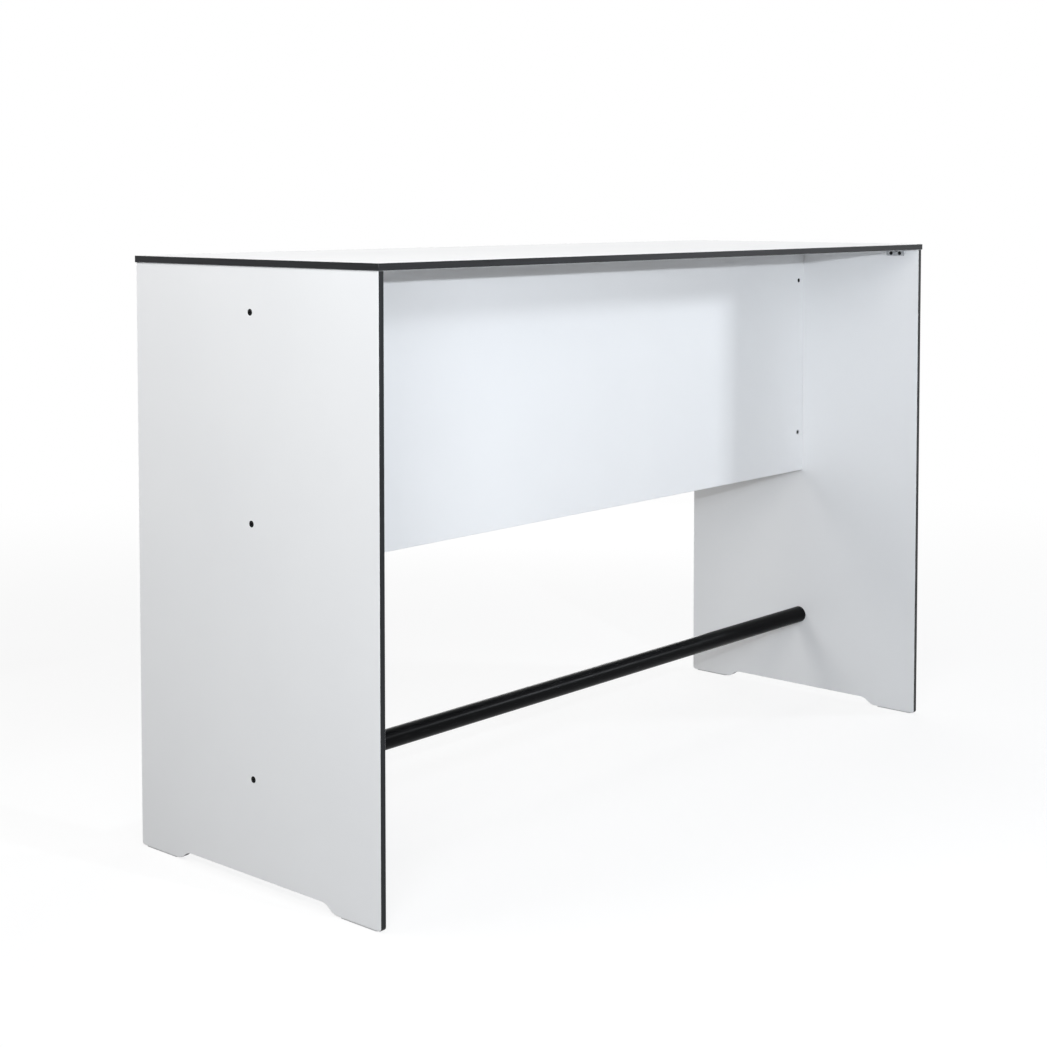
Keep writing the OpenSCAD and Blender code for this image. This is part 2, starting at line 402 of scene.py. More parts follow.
    def finish(self, finish: "Finish", slot: Slot, *nodes: str) -> None:
        """Dresses the piece and puts it in the place of CAD nodes.

        Args:
            finish: What its surface is.
            slot: Material slot of the record that its finish stands for; it is only named in the
                log.
            nodes: CAD nodes that it stands for.
        """
        select_only(self.obj)
        bpy.ops.object.shade_smooth_by_angle(angle=SMOOTH)
        self.obj.data.materials.clear()
        self.obj.data.materials.append(finish.material())
        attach(self.obj, BODY)
        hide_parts(*nodes)
        log.info("%s: %d faces, %s", self.obj.name, len(self.obj.data.polygons), slot.value)


# Finishes


class Number:
    """A number that varies over a surface: an output socket with Python's arithmetic."""

    def __init__(self, nodes: "Nodes", socket: bpy.types.NodeSocket) -> None:
        """Wraps an output socket of a node tree."""
        self.nodes = nodes
        self.socket = socket

    def _math(self, operation: str, *values: "Number | float") -> "Number":
        """Result of a Math node with these inputs, in their order."""
        made = self.nodes.node("ShaderNodeMath", {"operation": operation}, dict(enumerate(values)))
        return Number(self.nodes, made.outputs[0])

    def __add__(self, other: "Number | float") -> "Number":
        """Sum."""
        return self._math("ADD", self, other)

    __radd__ = __add__

    def __mul__(self, other: "Number | float") -> "Number":
        """Product."""
        return self._math("MULTIPLY", self, other)

    __rmul__ = __mul__

    def __sub__(self, other: "Number | float") -> "Number":
        """Difference."""
        return self._math("SUBTRACT", self, other)

    def __rsub__(self, other: "Number | float") -> "Number":
        """Difference from a plain number."""
        return self._math("SUBTRACT", other, self)

    def greater(self, other: "Number | float") -> "Number":
        """The greater of this number and another."""
        return self._math("MAXIMUM", self, other)

    def above(self, low: float, high: float) -> "Number":
        """0 below low, 1 above high, and smooth in between."""
        ramp = self.nodes.node(
            "ShaderNodeMapRange", {"interpolation_type": "SMOOTHSTEP"},
            {"Value": self, "From Min": low, "From Max": high},
        )
        return Number(self.nodes, ramp.outputs["Result"])

    def mixed(self, other: "Number", share: float) -> "Number":
        """This pattern with a share of another in it."""
        return self * (1 - share) + other * share

    def swing(self, width: float) -> "Number":
        """What this noise adds to a value that is to vary over a width."""
        return width * (self - NOISE_MIDDLE)


class Nodes:
    """A node tree that nodes are added to."""

    def __init__(self, tree: bpy.types.NodeTree) -> None:
        """Takes over a node tree."""
        self.tree = tree

    def feed(self, socket: bpy.types.NodeSocket, value: object) -> None:
        """Links or sets an input socket.

        Args:
            socket: The input.
            value: A Number or an output socket to link, or a constant.
        """
        if isinstance(value, Number):
            value = value.socket
        if isinstance(value, bpy.types.NodeSocket):
            self.tree.links.new(value, socket)
        elif socket.type == "RGBA" and len(value) == 3:
            socket.default_value = (*value, 1)
        else:
            socket.default_value = value

    def node(self, kind: str, settings: dict | None = None,
             inputs: dict | None = None) -> bpy.types.Node:
        """Adds any node.

        Args:
            kind: The node's type.
            settings: Its properties, which are set first.
            inputs: Values or links of its sockets, by identifier, name or number.

        Returns:
            The node.
        """
        made = self.tree.nodes.new(kind)
        for name, value in (settings or {}).items():
            setattr(made, name, value)
        by_identifier = {socket.identifier: socket for socket in made.inputs}
        for key, value in (inputs or {}).items():
            self.feed(by_identifier[key] if key in by_identifier else made.inputs[key], value)
        return made

    def seen(self) -> Number:
        """Tells what the camera sees from what only lights other things.

        Returns:
            1 where the camera sees a place, by itself or in a reflection or glass, and 0 elsewhere.
        """
        path = self.node("ShaderNodeLightPath")
        found = Number(self, path.outputs["Is Camera Ray"])
        for ray in ("Is Glossy Ray", "Is Transmission Ray"):
            found = found.greater(Number(self, path.outputs[ray]))
        return found


class Shader(Nodes):
    """A material's node tree, with a Principled BSDF at its end."""

    def __init__(self, name: str, **constants: float | Colour) -> None:
        """Starts a material.

        Args:
            name: Name of the material.
            constants: Values of the BSDF's sockets that are the same all over, with _ for a space.
        """
        self.material = bpy.data.materials.new(name)
        self.material.use_nodes = True
        super().__init__(self.material.node_tree)
        self.bsdf = self.tree.nodes["Principled BSDF"]
        for socket, value in constants.items():
            self.feed(self.bsdf.inputs[socket.replace("_", " ")], value)
        self.place = self.node("ShaderNodeTexCoord").outputs["Object"]

    def pattern(self, kind: str, grain: Place | float, shift: float,
                **inputs: float) -> bpy.types.Node:
        """Adds a texture node on the object's own coordinates.

        Args:
            kind: The node's type.
            grain: Size of the pattern in metres, the same in all directions or one for each axis.
            shift: Offset that makes one pattern differ from another.
            inputs: Values of its other sockets.

        Returns:
            The node.
        """
        sizes = (grain,) * 3 if isinstance(grain, float) else grain
        mapped = self.node(
            "ShaderNodeMapping", None,
            {"Vector": self.place, "Scale": [1 / size for size in sizes], "Location": [shift] * 3},
        )
        return self.node(kind, None, {"Vector": mapped.outputs[0], "Scale": 1, **inputs})

    def noise(self, grain: Place | float, detail: float, shift: float = 0) -> Number:
        """Noise about NOISE_MIDDLE, of a size in metres and with this many finer octaves."""
        made = self.pattern("ShaderNodeTexNoise", grain, shift, Detail=detail)
        return Number(self, made.outputs[0])

    def cells(self, grain: float) -> Number:
        """A random value from 0 to 1 for each irregular cell, as in the crystals of a zinc coat.

        Args:
            grain: Size of a cell in metres.

        Returns:
            The value.
        """
        made = self.pattern("ShaderNodeTexVoronoi", grain, 0)
        parted = self.node("ShaderNodeSeparateColor", None, {"Color": made.outputs["Color"]})
        return Number(self, parted.outputs[0])

    def blend(self, share: Number, first: Colour, second: Colour) -> bpy.types.NodeSocket:
        """Mixes two colours.

        Args:
            share: 0 for the first colour, 1 for the second.
            first: A colour.
            second: A colour.

        Returns:
            The mixed colour.
        """
        made = self.node(
            "ShaderNodeMix", {"data_type": "RGBA"},
            {"Factor_Float": share, "A_Color": first, "B_Color": second},
        )
        return next(socket for socket in made.outputs if socket.identifier == "Result_Color")

    def finish(self, colour: bpy.types.NodeSocket, roughness: Number, relief: Number,
               depth: float) -> bpy.types.Material:
        """Links what varies over the surface.

        Args:
            colour: Base colour.
            roughness: Roughness.
            relief: Height of the surface, about 0 to 1.
            depth: Height in metres of a relief of 1.

        Returns:
            The material.
        """
        bump = self.node(
            "ShaderNodeBump", None, {"Height": relief, "Distance": depth, "Strength": 1.0}
        )
        self.feed(self.bsdf.inputs["Base Color"], colour)
        self.feed(self.bsdf.inputs["Roughness"], roughness)
        self.feed(self.bsdf.inputs["Normal"], bump.outputs[0])
        return self.material


class Finish:
    """A surface finish, which makes its material once.

    In every finish, a plain length is the size of a pattern, a share is how much of a finer pattern
    is mixed in, a span is where one colour turns into the other, a swing is by how much a pattern
    varies the roughness, and a depth is the height of the relief.
    """

    made: dict["Finish", bpy.types.Material] = {}

    def material(self) -> bpy.types.Material:
        """The finish's material, made at its first use."""
        if self not in Finish.made:
            Finish.made[self] = self.build()
        return Finish.made[self]

    def build(self) -> bpy.types.Material:
        """Makes the material."""
        raise NotImplementedError


@dataclass(frozen=True)
class Decor(Finish):
    """Satin white decor paper under melamine resin, with a fine pearl texture."""

    light: Colour = (0.86, 0.865, 0.87)
    shade: Colour = (0.835, 0.84, 0.848)
    cloud: float = 0.35
    pearl: float = 0.0007
    hand: float = 0.0875
    pearl_share: float = 0.2
    span: Pair = (0.3, 0.7)
    pearl_depth: float = 0.000008
    roughness: float = 0.36
    hand_swing: float = 0.08
    pearl_swing: float = 0.06

    def build(self) -> bpy.types.Material:
        """Makes the material."""
        shader = Shader("satin_white_decor")
        cloud = shader.noise(self.cloud, detail=3)
        pearl = shader.noise(self.pearl, detail=1)
        handled = shader.noise(self.hand, detail=4, shift=7)
        clouded = cloud.mixed(pearl, self.pearl_share).above(*self.span)
        roughness = self.roughness + handled.swing(self.hand_swing) + pearl.swing(self.pearl_swing)
        return shader.finish(
            shader.blend(clouded, self.shade, self.light), roughness, pearl, self.pearl_depth
        )


@dataclass(frozen=True)
class Core(Finish):
    """Machined black core: thin layers of resin-soaked paper with the cutter's marks along them."""

    across: Axis
    dark: Colour = (0.006, 0.0065, 0.0075)
    pale: Colour = (0.017, 0.0182, 0.0205)
    layer: float = 0.0005
    streak: float = 0.09
    speck: float = 0.0012
    speck_share: float = 0.3
    span: Pair = (0.32, 0.68)
    relief_share: float = 0.4
    depth: float = 0.000015
    roughness: float = 0.34
    worn_swing: float = 0.16
    layer_swing: float = 0.14

    def build(self) -> bpy.types.Material:
        """Makes the material."""
        shader = Shader(f"black_core_across_{self.across.word}", Specular_IOR_Level=0.17)
        layers = shader.noise(self.across.sizes(self.layer, self.streak), detail=2)
        specks = shader.noise(self.speck, detail=2, shift=3)
        worn = shader.noise(self.streak, detail=3, shift=11)
        layered = layers.mixed(specks, self.speck_share).above(*self.span)
        roughness = self.roughness + worn.swing(self.worn_swing) + layers.swing(self.layer_swing)
        relief = layers.mixed(specks, self.relief_share)
        return shader.finish(
            shader.blend(layered, self.dark, self.pale), roughness, relief, self.depth
        )


@dataclass(frozen=True)
class PowderCoat(Finish):
    """Black powder coat with a little orange peel, dulled where shoes rest on it."""

    fresh: Colour = (0.0018, 0.0019, 0.0022)
    rubbed: Colour = (0.006, 0.0062, 0.0068)
    peel: float = 0.0016
    grit: float = 0.0003
    scuff: float = 0.05
    scuff_width: float = 0.00625
    scuff_span: Pair = (0.52, 0.75)
    grit_share: float = 0.3
    relief_share: float = 0.15
    depth: float = 0.00001
    roughness: float = 0.3
    grit_swing: float = 0.05
    dulling: float = 0.12

    def build(self) -> bpy.types.Material:
        """Makes the material."""
        shader = Shader("black_powder_coat", Specular_IOR_Level=0.04)
        peel = shader.noise(self.peel, detail=1)
        grit = shader.noise(self.grit, detail=1, shift=5)
        scuffs = shader.noise(Axis.X.sizes(self.scuff, self.scuff_width), detail=4, shift=9)
        rubbed = scuffs.above(*self.scuff_span)
        colour = shader.blend(rubbed.mixed(grit, self.grit_share), self.fresh, self.rubbed)
        roughness = self.roughness + grit.swing(self.grit_swing) + self.dulling * rubbed
        return shader.finish(colour, roughness, peel + grit * self.relief_share, self.depth)


@dataclass(frozen=True)
class BlackOxide(Finish):
    """Blackened steel of the screws, oily and mottled, with bright specks on its high spots."""

    oxide: Colour = (0.002, 0.002, 0.0023)
    steel: Colour = (0.012, 0.012, 0.0135)
    mottle: float = 0.0022
    pit: float = 0.00035
    pit_share: float = 0.4
    span: Pair = (0.45, 0.75)
    pit_depth: float = 0.000012
    roughness: float = 0.38
    mottle_swing: float = 0.2
    pit_swing: float = 0.1

    def build(self) -> bpy.types.Material:
        """Makes the material."""
        shader = Shader("black_oxide_steel", Specular_IOR_Level=0.1)
        mottle = shader.noise(self.mottle, detail=3)
        pits = shader.noise(self.pit, detail=2, shift=2)
        specked = mottle.mixed(pits, self.pit_share).above(*self.span)
        roughness = self.roughness + mottle.swing(self.mottle_swing) + pits.swing(self.pit_swing)
        return shader.finish(
            shader.blend(specked, self.oxide, self.steel), roughness, pits, self.pit_depth
        )


@dataclass(frozen=True)
class ZincPlate(Finish):
    """Zinc plate over rolled steel: faint crystals over fine lines along the strip."""

    along: Axis
    bright: Colour = (0.62, 0.63, 0.64)
    dull: Colour = (0.42, 0.43, 0.45)
    crystal: float = 0.0032
    line: float = 0.00025
    run: float = 0.03
    line_share: float = 0.5
    span: Pair = (0.2, 0.8)
    depth: float = 0.00001
    roughness: float = 0.36
    crystal_swing: float = 0.12
    line_swing: float = 0.14

    def build(self) -> bpy.types.Material:
        """Makes the material."""
        shader = Shader(f"zinc_plate_along_{self.along.word}", Metallic=0.9)
        lines = shader.noise(self.along.sizes(self.run, self.line), detail=2)
        crystals = shader.cells(self.crystal)
        spangle = crystals.mixed(lines, self.line_share).above(*self.span)
        roughness = (
            self.roughness + crystals.swing(self.crystal_swing) + lines.swing(self.line_swing)
        )
        return shader.finish(
            shader.blend(spangle, self.dull, self.bright), roughness, lines, self.depth
        )


@dataclass(frozen=True)
class TurnedBrass(Finish):
    """Machined brass with turning marks across its axis and a little tarnish."""

    axis: Axis
    bright: Colour = (0.66, 0.50, 0.22)
    tarnish: Colour = (0.40, 0.28, 0.12)
    groove: float = 0.0002
    groove_run: float = 0.016
    patch: float = 0.004
    span: Pair = (0.4, 0.75)
    depth: float = 0.000012
    roughness: float = 0.3
    patch_swing: float = 0.2
    groove_swing: float = 0.1

    def build(self) -> bpy.types.Material:
        """Makes the material."""
        shader = Shader(f"turned_brass_along_{self.axis.word}", Metallic=1.0)
        grooves = shader.noise(self.axis.sizes(self.groove, self.groove_run), detail=1)
        patches = shader.noise(self.patch, detail=3, shift=4)
        colour = shader.blend(patches.above(*self.span), self.bright, self.tarnish)
        roughness = (
            self.roughness + patches.swing(self.patch_swing) + grooves.swing(self.groove_swing)
        )
        return shader.finish(colour, roughness, grooves, self.depth)


@dataclass(frozen=True)
class MouldedPlastic(Finish):
    """Pale grey nylon with the mould's spark-eroded grain, dulled by the floor."""

    fresh: Colour = (0.58, 0.585, 0.59)
    dusty: Colour = (0.64, 0.64, 0.635)
    grain: float = 0.0005
    patch: float = 0.02
    grain_share: float = 0.3
    span: Pair = (0.3, 0.7)
    depth: float = 0.00003
    roughness: float = 0.55
    patch_swing: float = 0.16
    grain_swing: float = 0.1

    def build(self) -> bpy.types.Material:
        """Makes the material."""
        shader = Shader("moulded_grey_nylon")
        grain = shader.noise(self.grain, detail=2)
        patches = shader.noise(self.patch, detail=3, shift=6)
        dusted = patches.mixed(grain, self.grain_share).above(*self.span)
        roughness = self.roughness + patches.swing(self.patch_swing) + grain.swing(self.grain_swing)
        return shader.finish(
            shader.blend(dusted, self.fresh, self.dusty), roughness, grain, self.depth
        )


# Hardware sizes shared by the sub-assemblies


@dataclass(frozen=True)
class Clearances:
    """Gaps between the hardware and its holes, as in the CAD model."""

    hole: float = 0.0003
    thread: float = 0.0001
    seat: float = 0.0001
    sink: float = 0.0002
    drill: float = 0.001


@dataclass(frozen=True)
class Hardware:
    """Sizes of the screws, nuts, inserts and pins that the slabs are drilled for.

    The tacks are the brackets' button-head screws.
    """

    gaps: Clearances = Clearances()
    screw_d: float = 0.006
    screw_head_d: float = 0.012
    screw_key: float = 0.004
    screw_key_depth: float = 0.0022
    screw_l: float = 0.040
    rail_z: float = 0.190
    screw_zs: Pair = (0.640, 1.008)
    nut_d: float = 0.010
    nut_inset: float = 0.022
    nut_recess: float = 0.0005
    nut_slot_w: float = 0.0014
    nut_slot_depth: float = 0.0012
    past_nut: float = 0.001
    tack_d: float = 0.005
    tack_head_d: float = 0.009
    tack_head_h: float = 0.0026
    tack_key: float = 0.003
    tack_key_depth: float = 0.0015
    tack_l: float = 0.0105
    insert_d: float = 0.0075
    insert_l: float = 0.009
    bracket_y: float = 0.258
    bracket_x: float = 0.561
    bracket_pitch: float = 0.022
    leg_mid: float = 0.00875
    shelf_mid: float = 0.01625
    pin_d: float = 0.004
    pin_l: float = 0.010
    pin_y: float = 0.2625
    pin_pitch: float = 0.044

    @property
    def screw_reach(self) -> float:
        """Reach of a joining screw past the side slab."""
        return self.nut_inset + self.nut_d / 2 + self.past_nut

    @property
    def panel_bracket_xs(self) -> tuple[float, float, float]:
        """Places along X of the three brackets on the modesty panel."""
        return -self.bracket_x, 0, self.bracket_x


@dataclass(frozen=True)
class Drill:
    """Makes the cutters for the slabs' holes, each with its mouth at a place."""

    hardware: Hardware

    @staticmethod
    def plain(diameter: float, depth: float, place: Sequence[float],
              direction: Sequence[float]) -> Shape:
        """A plain hole of a diameter and a depth, drilled from a place along a direction."""
        profile = [(-PAST, diameter / 2), (depth, diameter / 2)]
        return Shape.turned("drill", profile, HOLE_SIDES).lay(direction, place)

    def insert(self, place: Sequence[float], direction: Sequence[float]) -> Shape:
        """A blind hole for a threaded insert, drilled from a place along a direction."""
        size, gaps = self.hardware, self.hardware.gaps
        return self.plain(
            size.insert_d + 2 * gaps.seat, size.insert_l + gaps.drill, place, direction
        )

    def countersunk(self, thickness: float, place: Sequence[float],
                    direction: Sequence[float]) -> Shape:
        """A countersunk hole through a slab.

        Args:
            thickness: The slab's thickness.
            place: The mouth's centre, on the countersunk side.
            direction: Where the drill goes.

        Returns:
            The cutter.
        """
        size, gaps = self.hardware, self.hardware.gaps
        hole, sink = size.screw_d / 2 + gaps.hole, size.screw_head_d / 2 + gaps.sink
        profile = [(-PAST, sink), (0, sink), (sink - hole, hole), (thickness + PAST, hole)]
        return Shape.turned("countersink", profile, HEAD_SIDES).lay(direction, place)


# Slabs


@dataclass(frozen=True)
class Laminate:
    """How every slab is layered: a black core between two thin white decor layers."""

    decor_t: float = 0.0004
    arris: float = 0.001

    def part(self, slab: Shape, node: str, across: Axis, low_face: str, high_face: str) -> None:
        """Parts a finished slab into its core and decor layers, and dresses them.

        Args:
            slab: The slab's whole solid, which is used up.
            node: The CAD node that the slab stands for.
            across: Direction across the slab's thickness.
            low_face: Name of the decor layer at the lower end of that direction.
            high_face: Name of the decor layer at its higher end.
        """
        places = [vertex.co[across.index] for vertex in slab.obj.data.vertices]
        low, high = min(places), max(places)
        inner_low, inner_high = low + self.decor_t, high - self.decor_t
        layers = (
            ("core", inner_low, inner_high, Core(across), Slot.CORE),
            (low_face, low - PAST, inner_low, Decor(), Slot.DECOR),
            (high_face, inner_high, high + PAST, Decor(), Slot.DECOR),
        )
        for layer, start, end, finish, slot in layers:
            piece = slab.copy(f"{node}_{layer}").keep_between(across, start, end)
            piece.finish(finish, slot, node)
        slab.delete()


@dataclass(frozen=True)
class TableTop:
    """The top slab, with blind holes in its underside for the bracket screws' inserts."""

    laminate: Laminate
    hardware: Hardware
    node: str = "table_top"

    def build(self) -> None:
        """Models and dresses the slab."""
        low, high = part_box(self.node)
        size, drill = self.hardware, Drill(self.hardware)
        slab = Shape.box(self.node + "_slab", low, high)
        slab.ease(self.laminate.arris)
        side_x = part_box("side_panel_right")[0].x - size.shelf_mid
        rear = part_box("modesty_panel")[1].y + size.shelf_mid
        steps = pair(size.bracket_pitch)
        places = [
            (side.value * side_x, face.value * size.bracket_y + step)
            for side in Side for face in Face for step in steps
        ] + [(x + step, rear) for x in size.panel_bracket_xs for step in steps]
        slab.cut(*[drill.insert((x, y, low.z), (0, 0, 1)) for x, y in places])
        self.laminate.part(slab, self.node, Axis.Z, "decor_under", "decor_upper")


@dataclass(frozen=True)
class SidePanel:
    """A side slab with two feet, drilled for its screws, inserts and glide pins."""

    laminate: Laminate
    hardware: Hardware
    side: Side
    foot_l: float = 0.105
    notch_h: float = 0.015
    ramp_l: float = 0.039
    corner_r: float = 0.006
    ramp_steps: int = 8
    corner_steps: int = 6

    def build(self) -> None:
        """Models and dresses the slab."""
        node = f"side_panel_{self.side.word}"
        low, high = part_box(node)
        slab = Shape.box(node + "_slab", low, high)
        self.cut_notch(slab, low.z, high.y)
        slab.ease(self.laminate.arris)
        slab.cut(*self.holes(low, high))
        names = ("decor_outer", "decor_inner")[:: -self.side.value]
        self.laminate.part(slab, node, Axis.X, *names)

    def cut_notch(self, slab: Shape, floor: float, front: float) -> None:
        """Raises the lower edge between the feet and rounds its ramps and the lower corners.

        Args:
            slab: The plain slab.
            floor: Height of its lower edge.
            front: Distance of its front and rear edges from the centre line.
        """
        # Each ramp is two equal arcs, so straight lines through their ends stand in for them first
        radius = (self.ramp_l**2 + self.notch_h**2) / (4 * self.notch_h)
        slope = math.asin(self.ramp_l / 2 / radius)
        tangent = radius * math.tan(slope / 2)
        foot = front - self.foot_l - tangent
        notch = front - self.foot_l - self.ramp_l + tangent
        with slab.editing():
            for y in (-foot, -notch, notch, foot):
                slab.bisect(Axis.Y, y)
            slab.pick(
                Part.VERTEX, lambda v: v.co.z < floor + NEAR and abs(v.co.y) < notch + NEAR
            )
            bpy.ops.transform.translate(value=(0, 0, self.notch_h))
            slab.flatten()
        slab.round_edges(
            lambda e: runs_along(e, Axis.X) and middle(e).z < floor + self.notch_h + NEAR
            and abs(middle(e).y) < front - NEAR,
            tangent, self.ramp_steps,
        )
        slab.round_edges(
            lambda e: runs_along(e, Axis.X) and middle(e).z < floor + NEAR
            and abs(middle(e).y) > front - NEAR,
            self.corner_r, self.corner_steps,
        )

    def holes(self, low: Vector, high: Vector) -> list[Shape]:
        """Cutters for all the slab's holes.

        Args:
            low: Lowest corner of the slab.
            high: Its highest corner.

        Returns:
            The cutters.
        """
        size, drill, outward = self.hardware, Drill(self.hardware), self.side.value
        outer, inner = (low.x, high.x)[::-outward]
        cutters = [
            drill.countersunk(high.x - low.x, (outer, 0, z), (-outward, 0, 0))
            for z in (size.rail_z, *size.screw_zs)
        ]
        pin_hole = size.pin_d + 2 * size.gaps.seat, size.pin_l + size.gaps.drill
        for face in Face:
            bracket_y, pin_y = face.value * size.bracket_y, face.value * size.pin_y
            cutters += [
                drill.insert((inner, bracket_y + step, high.z - size.leg_mid), (outward, 0, 0))
                for step in pair(size.bracket_pitch)
            ]
            cutters += [
                drill.plain(*pin_hole, ((low.x + high.x) / 2, pin_y + step, low.z), (0, 0, 1))
                for step in pair(size.pin_pitch)
            ]
        return cutters


@dataclass(frozen=True)
class ModestyPanel:
    """The upright panel between the sides, drilled for screws, barrel nuts and inserts."""

    laminate: Laminate
    hardware: Hardware
    node: str = "modesty_panel"

    def build(self) -> None:
        """Models and dresses the slab."""
        low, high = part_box(self.node)
        size, drill = self.hardware, Drill(self.hardware)
        slab = Shape.box(self.node + "_slab", low, high)
        slab.ease(self.laminate.arris)
        nut_hole = size.nut_d + 2 * size.gaps.seat, high.y - low.y + PAST
        screw_hole = size.screw_d + 2 * size.gaps.hole, size.screw_reach + size.gaps.drill
        cross, long = [], []
        for side, edge in zip(Side, (low.x, high.x)):
            nut_x = edge - side.value * size.nut_inset
            for z in size.screw_zs:
                cross.append(drill.plain(*nut_hole, (nut_x, low.y, z), (0, 1, 0)))
                long.append(drill.plain(*screw_hole, (edge, 0, z), (-side.value, 0, 0)))
        blind = [
            drill.insert((x + step, high.y, high.z - size.leg_mid), (0, -1, 0))
            for x in size.panel_bracket_xs for step in pair(size.bracket_pitch)
        ]
        slab.cut(*cross, *blind)
        slab.cut(*long)
        self.laminate.part(slab, self.node, Axis.Y, "decor_front", "decor_rear")


# Foot rail


@dataclass(frozen=True)
class FootRail:
    """The coated steel tube between the side slabs."""

    node: str = "foot_rail"
    wall: float = 0.002
    rim: float = 0.0004
    sides: int = 128

    def build(self) -> None:
        """Models and dresses the tube."""
        low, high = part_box(self.node)
        radius, length = (high.z - low.z) / 2, high.x - low.x
        tube = Shape.turned(self.node + "_tube", [(0, radius), (length, radius)], self.sides)
        with tube.editing():
            tube.pick(Part.FACE, lambda face: abs(face.normal.z) > FACING)
            bpy.ops.mesh.inset(thickness=self.wall)
            tube.pick(Part.FACE, lambda face: len(face.verts) == self.sides)
            bpy.ops.mesh.bridge_edge_loops()
        tube.ease(self.rim)
        tube.lay((1, 0, 0), (low.x, 0, (low.z + high.z) / 2))
        tube.finish(PowderCoat(), Slot.BLACK, self.node)


# Screws, nuts, brackets and glides


@dataclass(frozen=True)
class Thread:
    """A screw thread, made as a row of ridges at its pitch.

    The depth and the spans of crest and root are shares of the pitch, and the tip is a share of the
    root's radius.
    """

    diameter: float
    pitch: float
    depth: float = 0.54
    crest: Pair = (0.05, 0.18)
    root: Pair = (0.55, 0.68)
    tip: float = 0.9

    def stations(self, start: float, end: float) -> list[Pair]:
        """Heights and radii of the ridges.

        Args:
            start: Height where the thread starts.
            end: Height of the screw's tip.

        Returns:
            The stations of a turned profile, down to the tip's chamfer.
        """
        outer, inner = self.diameter / 2, self.diameter / 2 - self.depth * self.pitch
        ridge = [(share, outer) for share in self.crest] + [(share, inner) for share in self.root]
        found = []
        for turn in range(int((end - start) / self.pitch)):
            at = start + turn * self.pitch
            found += [(at + share * self.pitch, radius) for share, radius in ridge]
        return found + [(end, inner * self.tip)]


def hex_key(key: float, depth: float, top: float) -> Shape:
    """Cutter for a hex socket sunk from a height towards +Z.

    Args:
        key: Width across the socket's flats.
        depth: Its depth.
        top: Height of its mouth.

    Returns:
        The cutter, with the cone that a drill leaves at its bottom.
    """
    radius = key / math.sqrt(3)
    point_depth, point_radius = DRILL_POINT
    profile = [
        (top - PAST, radius), (top + depth, radius),
        (top + depth * point_depth, radius * point_radius),
    ]
    return Shape.turned("hex_key", profile, HEX_SIDES)


@dataclass(frozen=True)
class JoiningScrews:
    """The black countersunk screws through the side slabs.

    The rim's middle is its depth and inset, as shares of the rim.
    """

    hardware: Hardware
    thread_pitch: float = 0.001
    rim: float = 0.0004
    rim_middle: Pair = (0.4, 0.3)
    shank: float = 0.008

    def build(self) -> None:
        """Models one screw and copies it to its places."""
        size = self.hardware
        head, shank = size.screw_head_d / 2, size.screw_d / 2
        depth, inset = (self.rim * share for share in self.rim_middle)
        profile = [
            (0, head - self.rim), (depth, head - inset), (self.rim, head - self.rim),
            (head - shank, shank), (self.shank, shank),
        ]
        thread = Thread(size.screw_d, self.thread_pitch).stations(self.shank, size.screw_l)
        screw = Shape.turned("screw", profile + thread, HEAD_SIDES)
        screw.cut(hex_key(size.screw_key, size.screw_key_depth, 0))
        for side in Side:
            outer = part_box(f"side_panel_{side.word}")[side is Side.RIGHT].x
            for kind, heights in (("rail_screw", (size.rail_z,)), ("panel_screws", size.screw_zs)):
                node = f"{kind}_{side.word}"
                places = [turn_to((-side.value, 0, 0), (outer, 0, z)) for z in heights]
                screw.copies(f"{node}_steel", places).finish(BlackOxide(), Slot.BLACK, node)
        screw.delete()


@dataclass(frozen=True)
class BarrelNuts:
    """The cross dowels in the modesty panel, with a slotted end that shows on its front."""

    hardware: Hardware
    rim: float = 0.0005

    def build(self) -> None:
        """Models one nut and copies it to its places."""
        size = self.hardware
        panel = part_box("modesty_panel")
        length = panel[1].y - panel[0].y - 2 * size.nut_recess
        radius, bore = size.nut_d / 2, size.screw_d / 2 + size.gaps.thread
        profile = [
            (0, radius - self.rim), (self.rim, radius),
            (length - self.rim, radius), (length, radius - self.rim),
        ]
        nut = Shape.turned("nut", profile, HEAD_SIDES)
        cross = Shape.turned("bore", [(-size.nut_d, bore), (size.nut_d, bore)], HOLE_SIDES)
        slot = Shape.box(
            "slot", (-radius - PAST, -size.nut_slot_w / 2, -PAST),
            (radius + PAST, size.nut_slot_w / 2, size.nut_slot_depth),
        )
        nut.cut(cross.lay((1, 0, 0), (0, 0, length / 2)), slot)
        for side, corner in zip(Side, panel):
            node = f"barrel_nuts_{side.word}"
            x = corner.x - side.value * size.nut_inset
            places = [
                turn_to((0, 1, 0), (x, panel[0].y + size.nut_recess, z)) for z in size.screw_zs
            ]
            nut.copies(f"{node}_steel", places).finish(BlackOxide(), Slot.BLACK, node)
        nut.delete()


